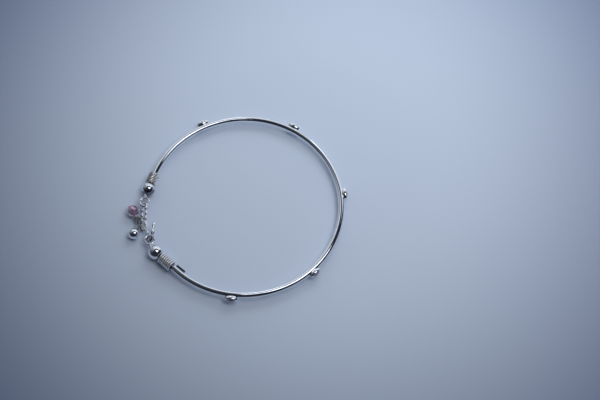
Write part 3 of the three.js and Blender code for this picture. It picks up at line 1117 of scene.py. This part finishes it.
# ---- the clasp ----------------------------------------------------------------------------------
@dataclass
class HookClasp:
    """The clasp: a hairpin eye, a leaf-shaped plate and a hook."""

    eye_apex: Point = (-38.05, 6.15, 2.9)
    eye_base: Point = (-39.45, -2.6, 2.4)
    eye_half_width: float = 1.3
    eye_wire: float = 0.48
    leg_steps: int = 30
    bend_steps: int = 24
    knuckle: float = 1.9  # from one swelling of the beaten wires to the next
    swell: float = 0.16
    leaf_centre: Point = (-39.45, -3.2, 2.4)
    leaf_along: Point = (0.1, -0.99, 0.0)
    leaf_length: float = 4.7
    leaf_width: float = 3.9
    leaf_thickness: float = 0.68
    carving: float = 0.14  # depth of the leaf's ground below its ribs
    rib_height: float = 0.6  # in depths of the carving
    rib_width: float = 0.07  # in half widths of the leaf
    vein_height: float = 0.35  # in depths of the carving
    vein_turn: float = 22.0  # how closely the veins follow each other
    vein_slant: float = 0.9
    vein_fade: float = 5.0  # how fast they rise beside the midrib
    tilt_deg: float = 50.0  # of the eye and the leaf, whose inner sides are raised
    hook_wire: float = 0.6
    fold_wire: float = 0.3
    fold_start: float = 1.12  # where the fold starts round the leaf, in half turns
    fold_sweep: float = 0.62
    fold_reach: tuple[float, float] = (0.42, 0.46)  # in lengths and in widths of the leaf
    fold_lift: float = 0.22
    bar_half: float = 0.42
    bar_wire: float = 0.3
    bar_waist: float = 0.62  # its thickness in the middle, in its wire
    bar_flare: float = 1.52  # how fast it thickens towards its ends
    hook_route: tuple[Point, ...] = (
        (-39.25, -4.6, 2.3),
        (-38.45, -5.8, 1.7),
        (-38.3, -7.4, 1.5),
        (-38.2, -9.0, 1.95),
        (-37.7, -9.7, 2.95),
        (-37.0, -9.4, 4.0),
        (-36.65, -8.2, 4.35),
        (-36.1, -6.1, 4.3),
        (-35.45, -3.5, 4.2),
    )
    stands_for: tuple[str, ...] = ("hook_clasp",)

    def build(self, shop: Workshop) -> None:
        """Makes the eye, the leaf, the hook and the leaf's fold.

        Args:
            shop: makes the pieces.
        """
        line = self._hairpin()
        eye = tube(line, self._beaten(line, self.eye_wire), 20)
        shop.piece("clasp_eye", eye, BEATEN, self.stands_for)
        shop.piece("clasp_leaf", self._leaf(), FROSTED, self.stands_for, sharp_deg=70)
        line = smooth_line(self.hook_route, 14)
        hook = tube(line, self._beaten(line, self.hook_wire), 20)
        hook.add(self._bar(line))
        shop.piece("clasp_hook", hook, HOOK_SILVER, self.stands_for)
        fold = tube(self._fold(), self.fold_wire, 14)
        shop.piece("clasp_leaf_fold", fold, DARK_SILVER, self.stands_for)

    def _beaten(self, line: Sequence[Vector], radius: float) -> Callable[[float], float]:
        """The radius along a beaten wire.

        Args:
            line: the points of its centre-line.
            radius: its mean radius.

        Returns:
            The radius as a function of the share of the line, which swells at each knuckle.
        """
        length = sum((b - a).length for a, b in zip(line, line[1:]))
        waves = 2 * math.pi * length / self.knuckle
        return lambda share: radius + self.swell * math.cos(waves * share)

    def _hairpin(self) -> list[Vector]:
        """The eye's line: two legs joined by a half circle.

        Returns:
            Its points, from the foot of one leg to that of the other.
        """
        apex, base, width = Vector(self.eye_apex), Vector(self.eye_base), self.eye_half_width
        axis = (base - apex).normalized()
        level = UP.cross(axis).normalized()
        tilt = math.radians(self.tilt_deg)
        across = level * math.cos(tilt) + axis.cross(level) * math.sin(tilt)
        centre = apex + axis * width
        leg = (base - apex).length - width
        steps = self.leg_steps
        line = [centre + axis * (leg * (1 - i / steps)) - across * width for i in range(steps)]
        for i in range(self.bend_steps + 1):
            angle = math.pi * i / self.bend_steps
            bend = axis * (width * math.sin(angle))
            line.append(centre - bend - across * (width * math.cos(angle)))
        line += [centre + axis * (leg * (i + 1) / steps) + across * width for i in range(steps)]
        return line

    def _leaf(self, rings: int = 20, segments: int = 96) -> Form:
        """The plate: domed and carved on both sides, and thin at its rim.

        Args:
            rings: the number of rings from its middle to its rim.
            segments: the number of steps round it.

        Returns:
            Its surface.
        """
        levels = [(-1, i / rings) for i in range(1, rings + 1)]
        levels += [(1, 1 - i / rings) for i in range(1, rings)]
        rows = []
        for face, share in levels:
            row = []
            for j in range(segments):
                angle = 2 * math.pi * j / segments
                x, y = share * math.cos(angle), share * math.sin(angle)
                lift = face * self._leaf_lift(x, y, share)
                row.append(Vector((x * self.leaf_length / 2, y * self.leaf_width / 2, lift)))
            rows.append(row)
        return rows_to_form(rows, wrap=False, caps=True).moved(self._leaf_frame())

    def _leaf_lift(self, x: float, y: float, share: float) -> float:
        """How far a face of the leaf stands from its middle plane.

        Args:
            x: the place along the leaf, from -1 to 1.
            y: the place across it, from -1 to 1.
            share: the distance from its middle, 1 at its rim.

        Returns:
            The distance, with a midrib and side veins that fade out at the rim.
        """
        inner = 1 - share**4
        dome = self.leaf_thickness / 2 * math.sqrt(max(0.0, 1 - share**6))
        rib = math.exp(-((y / self.rib_width) ** 2)) * self.rib_height
        veins = 0.5 + 0.5 * math.cos(self.vein_turn * (x + self.vein_slant * abs(y)))
        veins = veins * self.vein_height * min(1.0, abs(y) * self.vein_fade)
        return dome - self.carving * (1 - (rib + veins) * inner) * inner

    def _leaf_frame(self) -> Matrix:
        """The leaf's frame.

        Returns:
            The matrix: +X along it, +Y across it and rising, +Z out of its upper face.
        """
        lengthways = Vector(self.leaf_along).normalized()
        level = UP.cross(lengthways).normalized()
        tilt = math.radians(self.tilt_deg)
        across = level * math.cos(tilt) + UP * math.sin(tilt)
        return basis(lengthways, across, lengthways.cross(across), Vector(self.leaf_centre))

    def _fold(self, steps: int = 24) -> list[Vector]:
        """The line of the folded-over lower edge of the leaf.

        Args:
            steps: the number of steps along it.

        Returns:
            Its points.
        """
        matrix, line = self._leaf_frame(), []
        along, across = self.fold_reach
        for i in range(steps + 1):
            angle = math.pi * (self.fold_start + self.fold_sweep * i / steps)
            x = along * self.leaf_length * math.cos(angle)
            y = across * self.leaf_width * math.sin(angle)
            line.append(matrix @ Vector((x, y, self.fold_lift)))
        return line

    def _bar(self, line: Sequence[Vector]) -> Form:
        """The short cross-bar at the hook's tip, thicker at both ends.

        Args:
            line: the points of the hook's centre-line.

        Returns:
            The bar's surface.
        """
        tip, across = line[-1], UP.cross(line[-1] - line[-2]).normalized()
        bar = [tip + across * (self.bar_half * (i / 8 - 1)) for i in range(17)]
        waist, flare = self.bar_waist, self.bar_flare
        return tube(bar, lambda share: self.bar_wire * (waist + flare * (share - 0.5) ** 2), 14)


# ---- the charms ---------------------------------------------------------------------------------
@dataclass
class Charms:
    """The pink bead and the silver ball with the wires that hang them."""

    wire: float = 0.3
    stem_wire: float = 0.42
    ring_centre: Point = (-40.28, 0.46, 1.82)
    ring_normal: Point = (0.19, 0.92, 0.35)
    ring_radius: float = 1.5
    bead_centre: Point = (-42.95, 3.85, 2.35)
    bead_radius: float = 2.35
    bead_length: float = 4.2
    bead_sides: int = 10
    bead_bore: float = 0.4
    bead_end: float = 0.5  # its flat end's radius, over the bead's
    bead_shoulder: Ring = (0.86, 0.55)  # over the bead's radius and half its length
    bead_loop_centre: Point = (-41.5, 1.05, 1.12)
    bead_loop_normal: Point = (0.38, 0.49, -0.79)
    ball_centre: Point = (-43.6, -5.6, 2.2)
    ball_radius: float = 2.2
    ball_trim: float = 0.06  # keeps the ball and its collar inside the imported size
    ball_rows: int = 44
    ball_pole: float = 0.35  # of a row, left flat at each pole
    collar_height: float = 0.03
    collar_angle: float = 0.26  # from the stem to the collar's crest, in radians
    collar_width: float = 0.22  # over that angle
    ball_loop_centre: Point = (-41.72, 0.6, 2.3)
    ball_loop_normal: Point = (0.2, -0.07, 0.98)
    loop_radius: float = 0.75
    head_radius: float = 0.7
    head_height: float = 0.3
    head_rings: tuple[Ring, ...] = (  # over its radius and its height
        (0.85, 0.0),
        (1.0, 0.25),
        (0.93, 0.6),
        (0.6, 0.92),
        (0.2, 1.0),
    )
    stem_route: tuple[Point, ...] = (
        (-41.72, -0.15, 2.25),
        (-41.5, -1.8, 2.1),
        (-41.6, -3.2, 2.1),
        (-42.3, -4.3, 2.15),
        (-43.2, -5.15, 2.2),
    )

    def build(self, shop: Workshop) -> None:
        """Makes the jump ring, the bead on its pin, and the ball on its stem.

        Args:
            shop: makes the pieces.
        """
        ring = self._loop(self.ring_centre, self.ring_normal, self.ring_radius)
        shop.piece("charm_jump_ring_wire", ring, OLIVE_WIRE, ["charm_jump_ring"])
        axis = (Vector(self.bead_centre) - Vector(self.bead_loop_centre)).normalized()
        bead = self._bead().moved(placed(Vector(self.bead_centre), axis))
        shop.piece("charm_bead_cut", bead, BEAD_GLASS, ["charm_bead"], Shading.FLAT)
        shop.piece("charm_bead_wire", self._bead_pin(axis), COILED, ["charm_bead_pin"])
        shop.piece("charm_ball_shell", self._ball(), POLISHED, ["charm_ball"])
        stem = tube(smooth_line(self.stem_route, 12), self.stem_wire, 12)
        stem.add(self._loop(self.ball_loop_centre, self.ball_loop_normal, self.loop_radius))
        shop.piece("charm_ball_stem", stem, OLIVE_WIRE, ["charm_ball"])

    def _loop(self, centre: Point, normal: Point, radius: float) -> Form:
        """A closed loop of the thin wire, round a centre and square to a normal."""
        line = circle(Vector(centre), Vector(normal), radius, 56)
        return tube(line, self.wire, 14, closed=True)

    def _bead(self) -> Form:
        """The cut bead, drilled along Z.

        Returns:
            Its surface, with the bore.
        """
        half, wide = self.bead_length / 2, self.bead_radius
        shoulder, level = wide * self.bead_shoulder[0], half * self.bead_shoulder[1]
        profile = [
            (self.bead_bore, -half),
            (wide * self.bead_end, -half),
            (shoulder, -level),
            (wide, 0.0),
            (shoulder, level),
            (wide * self.bead_end, half),
            (self.bead_bore, half),
            (self.bead_bore, 0.0),
        ]
        return faceted(profile, self.bead_sides, bored=True)

    def _bead_pin(self, axis: Vector) -> Form:
        """The headed pin through the bead, with its loop.

        Args:
            axis: the way from the loop to the bead.

        Returns:
            The pin's surface.
        """
        head = Vector(self.bead_centre) + axis * (self.bead_length / 2 + GAP)
        start = Vector(self.bead_loop_centre) + axis * self.loop_radius
        form = self._loop(self.bead_loop_centre, self.bead_loop_normal, self.loop_radius)
        shank = [start.lerp(head, i / 24) for i in range(25)]
        form.add(tube(shank, self.bead_bore - GAP, 12, dome=2))
        rings = [(self.head_radius * r, self.head_height * h) for r, h in self.head_rings]
        return form.add(lathe(rings, 28).moved(placed(head, axis)))

    def _ball(self) -> Form:
        """The ball, with a low collar where its stem goes in.

        Returns:
            Its surface.
        """
        centre = Vector(self.ball_centre)
        entry = Vector(self.stem_route[-2]) - centre
        profile = []
        for i in range(self.ball_rows + 1):
            angle = math.pi * (i + self.ball_pole) / (self.ball_rows + 2 * self.ball_pole)
            off_crest = ((math.pi - angle) / self.collar_angle - 1) / self.collar_width
            collar = self.collar_height * math.exp(-(off_crest**2))
            radius = self.ball_radius - self.ball_trim + collar
            profile.append((radius * math.sin(angle), -radius * math.cos(angle)))
        return lathe(profile, 64).moved(placed(centre, entry))


# ---- the studio ---------------------------------------------------------------------------------
PANE_COLOR: Color = (0.87, 0.93, 1.0)


@dataclass(frozen=True)
class SoftBox:
    """A rectangular soft box, aimed at the middle of the table."""

    name: str
    place: Point
    size: tuple[float, float]  # across, and up
    glow: float  # its face's brightness, where white paper in full light is 1
    color: Color = (0.9, 0.93, 1.0)
    mirrored: bool = True  # whether the silver shows it

    def build(self) -> None:
        """Makes the light."""
        width, height = (value * MM for value in self.size)
        light = bpy.data.lights.new(self.name, "AREA")
        light.shape = "RECTANGLE"
        light.size, light.size_y = width, height
        light.color = self.color
        light.energy = self.glow * math.pi * width * height
        back = Vector(self.place).normalized()
        right = UP.cross(back).normalized()
        made = bpy.data.objects.new(self.name, light)
        made.matrix_world = basis(right, back.cross(right), back, Vector(self.place) * MM)
        made.visible_camera = False
        made.visible_glossy = self.mirrored
        bpy.context.scene.collection.objects.link(made)


@dataclass
class Studio:
    """The table, the lights, the sky and the camera."""

    table_reach: float = 1500.0
    table_roughness: float = 0.55
    table_shine: float = 0.25
    # The table's colour holds a painted pool of light: it is palest round a middle point and darkens
    # into painted shade towards the rim.
    table_color: Color = (0.67, 0.757, 0.89)
    painted_shade_color: Color = (0.1, 0.14, 0.27)
    painted_light_middle: Point = (29.0, 17.0, 0.0)
    painted_light_fade: tuple[float, float] = (46.0, 200.0)  # how far from the painted pool of light's middle the table darkens into painted shade
    ceiling_color: Color = (0.02, 0.022, 0.03)
    haze_color: Color = (0.1, 0.105, 0.12)
    haze_side: Point = (-0.55, 0.72, 0.42)
    haze_edge: tuple[float, float] = (0.35, 0.9)  # how squarely the sky faces that side
    boxes: tuple[SoftBox, ...] = (
        SoftBox("overhead_box", (130.0, -52.0, 330.0), (165.0, 170.0), 2.3),
        SoftBox("overhead_wing", (20.0, 0.0, 330.0), (60.0, 60.0), 2.3),
        SoftBox("overhead_fill", (100.0, 0.0, 330.0), (220.0, 220.0), 1.45, mirrored=False),
        SoftBox("window_fill", (150.0, 200.0, 230.0), (200.0, 160.0), 1.6, mirrored=False),
        SoftBox("window_pane_1", (-157.0, 132.0, 122.0), (145.0, 290.0), 0.18, PANE_COLOR),
        SoftBox("window_pane_2", (-53.0, 198.0, 122.0), (145.0, 290.0), 0.52, PANE_COLOR),
        SoftBox("window_pane_3", (70.0, 193.0, 112.0), (145.0, 260.0), 0.66, PANE_COLOR),
        SoftBox("window_pane_4", (168.0, 118.0, 95.0), (145.0, 210.0), 0.76, PANE_COLOR),
    )
    camera_place: Point = (-21.27, -202.79, 442.37)
    camera_aim: Point = (21.547, -1.364, 2.9)
    camera_roll_deg: float = 3.099
    camera_lens: float = 75.0
    camera_film: float = 36.0
    camera_near: float = 10.0

    def build(self) -> None:
        """Makes the whole studio."""
        self._table()
        self._sky()
        for box in self.boxes:
            box.build()
        self._camera()
        bpy.context.scene.view_settings.view_transform = "Standard"
        LOG.info("studio: table, sky, %d soft boxes and camera", len(self.boxes))

    def _table(self) -> None:
        """The pale table top."""
        reach = self.table_reach
        corners = [(-reach, -reach), (reach, -reach), (reach, reach), (-reach, reach)]
        mesh = bpy.data.meshes.new("table_top")
        mesh.from_pydata([(x * MM, y * MM, 0.0) for x, y in corners], [], [(0, 1, 2, 3)])
        mesh.materials.append(surface("pale_table", self._table_sockets))
        made = bpy.data.objects.new("table_top", mesh)
        bpy.context.scene.collection.objects.link(made)

    def _table_sockets(self, shader: Shader) -> dict[str, Any]:
        """The table's colour, with a painted pool of light: palest in the middle, darkening into
        painted shade towards its rim.

        Args:
            shader: the material's node tree.

        Returns:
            The value or the link of each socket of the Principled shader.
        """
        middle = [value * MM for value in self.painted_light_middle]
        away = shader.measure("DISTANCE", shader.place(), middle)
        near, far = (value * MM for value in self.painted_light_fade)
        paint_and_painted_light = shader.blend(shader.between(away, near, far), self.table_color, self.painted_shade_color)
        return {
            "Base Color": paint_and_painted_light,
            "Roughness": self.table_roughness,
            "Specular IOR Level": self.table_shine,
        }

    def _sky(self) -> None:
        """A dark ceiling, with some haze low at the back and the left."""
        world = bpy.data.worlds.new("studio_sky")
        world.use_nodes = True
        bpy.context.scene.world = world
        shader = Shader(world.node_tree)
        way = shader.node("ShaderNodeTexCoord", {}, {}, "Generated")
        facing = shader.measure("DOT_PRODUCT", way, self.haze_side)
        haze = shader.between(facing, *self.haze_edge)
        color = shader.blend(haze, self.ceiling_color, self.haze_color)
        sky = shader.node("ShaderNodeBackground", {}, {"Color": color, "Strength": 1.0})
        shader.node("ShaderNodeOutputWorld", {}, {"Surface": sky})

    def _camera(self) -> None:
        """The camera, with its roll."""
        eye, aim = Vector(self.camera_place), Vector(self.camera_aim)
        back = (eye - aim).normalized()
        right = UP.cross(back).normalized()
        roll = math.radians(self.camera_roll_deg)
        right = right * math.cos(roll) + back.cross(right) * math.sin(roll)
        data = bpy.data.cameras.new("camera")
        data.lens = self.camera_lens
        data.sensor_width = self.camera_film
        data.clip_start = self.camera_near * MM
        made = bpy.data.objects.new("camera", data)
        made.matrix_world = basis(right, back.cross(right), back, eye * MM)
        bpy.context.scene.collection.objects.link(made)
        bpy.context.scene.camera = made


# ---- the bangle ---------------------------------------------------------------------------------
FRONT_END = HoopEnd(
    name="front",
    arc_end_deg=-141.5,
    turn=-1,
    straight=10.9,
    ball_radius=2.9,
    sleeve_radius=1.45,
    coil_start=2.4,
    coil_wire=0.34,
    coil_pitch=0.84,
    strands=1,
    ring_centre=(-37.96, -9.42, REST_HEIGHT),
)
BACK_END = HoopEnd(
    name="back",
    arc_end_deg=151.7,
    turn=1,
    straight=6.4,
    ball_radius=2.6,
    sleeve_radius=1.32,
    coil_start=0.0,
    coil_wire=0.34,
    coil_pitch=-16.0,
    strands=11,
    ring_centre=(-38.08, 6.77, REST_HEIGHT),
)


def main() -> None:
    """Builds the studio and the bangle."""
    logging.basicConfig(level=logging.INFO, format="%(name)s: %(message)s")
    Studio().build()
    shop = Workshop()
    Hoop(FRONT_END, BACK_END).build(shop)
    Studs().build(shop)
    WireEnd(FRONT_END, coil_finish=WOUND).build(shop)
    WireEnd(BACK_END, ball_finish=SHADED).build(shop)
    HookClasp().build(shop)
    Charms().build(shop)
    LOG.info("%d pieces made", len(shop.made))


if __name__ == "__main__":
    main()
